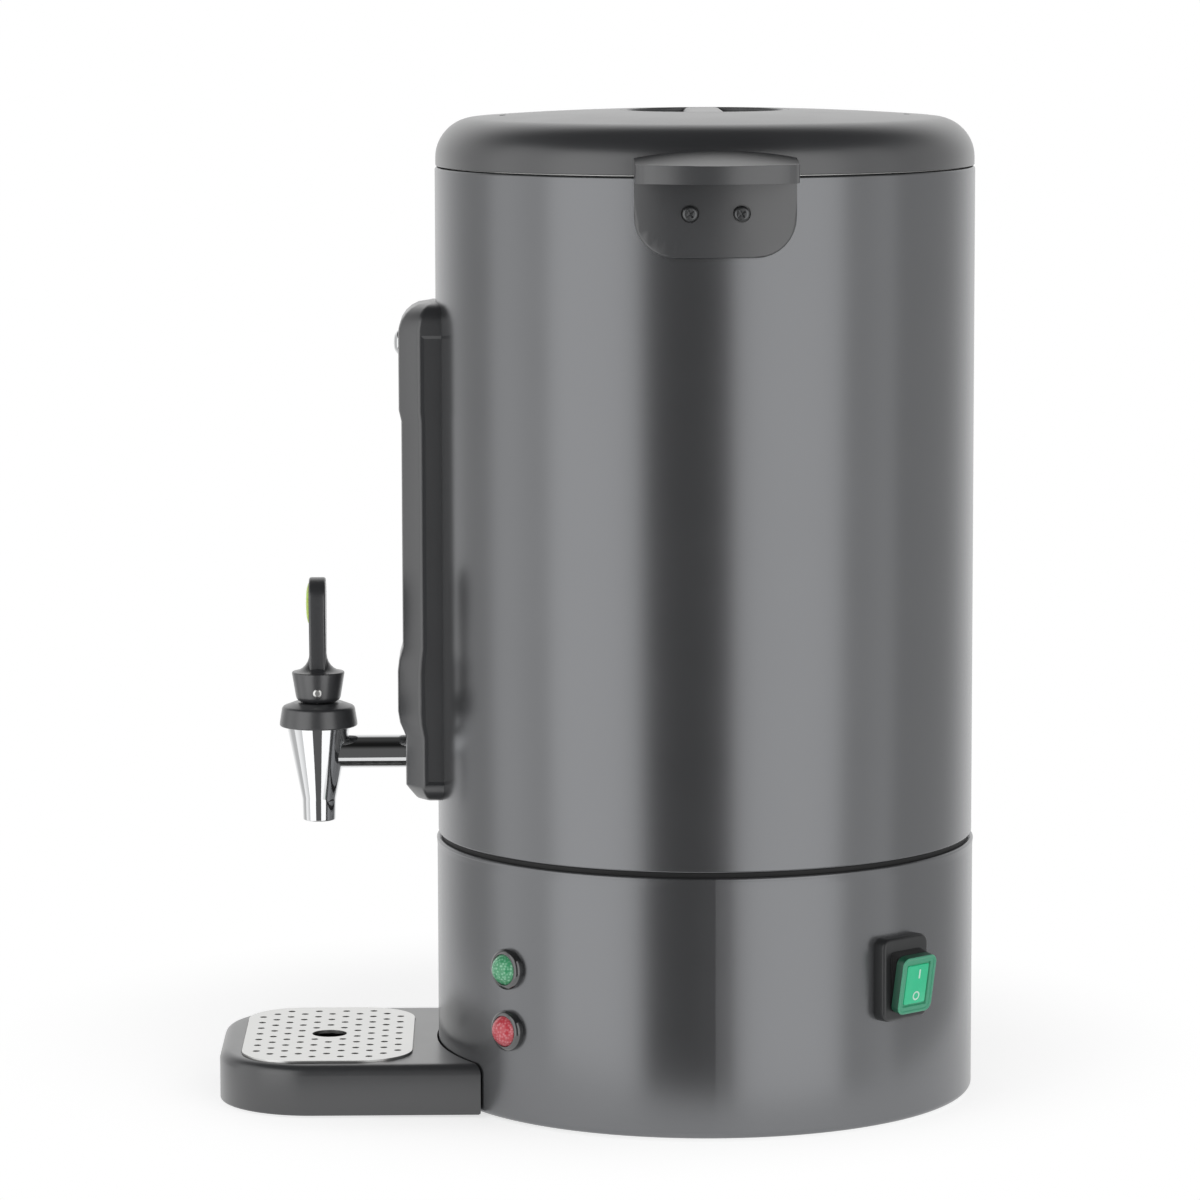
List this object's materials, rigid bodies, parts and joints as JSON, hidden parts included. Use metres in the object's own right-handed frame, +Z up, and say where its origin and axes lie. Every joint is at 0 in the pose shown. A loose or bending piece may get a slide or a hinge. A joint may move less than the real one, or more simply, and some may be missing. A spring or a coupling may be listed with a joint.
{
  "type": "coffee urn",
  "caption": "Tall cylindrical coffee urn with a lift-off lid, side handles, sight glass, lever tap, rocker switch and drip tray.",
  "frame": {"origin": "on the drum's axis, at the table surface under the foot ring", "axes": "+Z up along the drum's axis, -Y towards the tap and drip tray, handles along +X and -X"},
  "size_m": [0.303, 0.3363, 0.4375],
  "materials": {
    "coated_steel": "satin dark grey coating on steel sheet",
    "stainless": "brushed stainless steel",
    "zinc_steel": "zinc plated steel",
    "aluminium": "cast aluminium",
    "ceramic": "unglazed ceramic",
    "black_plastic": "fine-grained moulded plastic",
    "black_rubber": "matt rubber",
    "silicone": "translucent silicone",
    "chrome": "polished chrome plate",
    "black_screw": "blackened steel",
    "gauge_glass": "clear tube",
    "green_lens": "translucent green lens",
    "red_lens": "translucent red lens",
    "rocker_green": "translucent green cap",
    "rocker_window": "lit green window",
    "lime_insert": "lime green moulding"
  },
  "bodies": {
    "urn": {"outer_shell": "coated_steel", "inner_tank": "stainless", "base_housing": "coated_steel", "seam_gasket": "black_rubber", "bottom_plate": "zinc_steel", "foot_ring": "black_rubber", "tank_studs": "zinc_steel", "stud_nuts": "zinc_steel", "heater": "aluminium", "thermostat": "ceramic", "dry_cutout": "ceramic", "terminal_block": "ceramic", "cable_gland": "black_plastic", "gland_nut": "black_plastic", "green_lamp_bezel": "black_plastic", "green_lamp_lens": "green_lens", "red_lamp_bezel": "black_plastic", "red_lamp_lens": "red_lens", "lamp_nuts": "zinc_steel", "switch_frame": "black_plastic", "switch_seal": "black_rubber", "right_handle": "black_plastic", "left_handle": "black_plastic", "handle_screws": "black_screw", "handle_nuts": "zinc_steel", "gauge_cover": "black_plastic", "gauge_glass": "gauge_glass", "gauge_tee": "chrome", "glass_lower_seal": "silicone", "glass_upper_seal": "silicone", "cover_cap_screw": "chrome", "cover_nut": "zinc_steel", "tap_body": "chrome", "tap_bonnet": "black_plastic", "valve_spring": "zinc_steel", "shank_outer_washer": "silicone", "shank_spacer": "silicone", "shank_inner_washer": "silicone", "shank_nut": "chrome", "pump_tube": "stainless", "pump_foot": "stainless", "filter_basket": "stainless"},
    "basket_lid": {"basket_lid": "stainless"},
    "lid": {"lid_cover": "black_plastic", "lid_grip": "black_plastic", "lid_liner": "stainless", "lid_gasket": "silicone", "lid_screws": "zinc_steel"},
    "valve": {"valve_stem": "stainless", "seat_cup": "silicone"},
    "lever": {"tap_lever": "black_plastic", "lever_insert": "lime_insert", "lever_pin": "stainless"},
    "rocker": {"switch_rocker": "rocker_green", "switch_window": "rocker_window"},
    "tray": {"drip_tray": "black_plastic"},
    "grid": {"drip_grid": "stainless"}
  },
  "joints": [
    {"name": "lid_lift", "type": "slide", "parent": "urn", "child": "lid", "axis": [0, 0, 1], "range_m": [0, 0.12]},
    {"name": "stem_lift", "type": "slide", "parent": "urn", "child": "valve", "axis": [0, 0, 1], "range_m": [0, 0.0032], "stiffness_N_per_m": 1200, "springref_m": -0.004, "deforming": ["valve_spring"]},
    {"name": "lever_tilt", "type": "hinge", "parent": "valve", "child": "lever", "pos_m": [0, -0.1722, 0.1797], "axis": [1, 0, 0], "range_deg": [0, 30]},
    {"name": "rocker_tilt", "type": "hinge", "parent": "urn", "child": "rocker", "pos_m": [0.08894, 0.07981, 0.0661], "axis": [0.6678, -0.7443, 0], "range_deg": [0, 18.8], "deforming": ["switch_seal"]},
    {"name": "tray_slide", "type": "slide", "parent": "urn", "child": "tray", "axis": [0, -1, 0], "range_m": [0, 0.12]},
    {"name": "grid_lift", "type": "slide", "parent": "tray", "child": "grid", "axis": [0, 0, 1], "range_m": [0, 0.05]},
    {"name": "basket_lid_lift", "type": "slide", "parent": "urn", "child": "basket_lid", "axis": [0, 0, 1], "range_m": [0, 0.02]}
  ],
  "couplings": [
    {"joint": "lever_tilt", "follows": "stem_lift", "rad_per_m": 163}
  ]
}
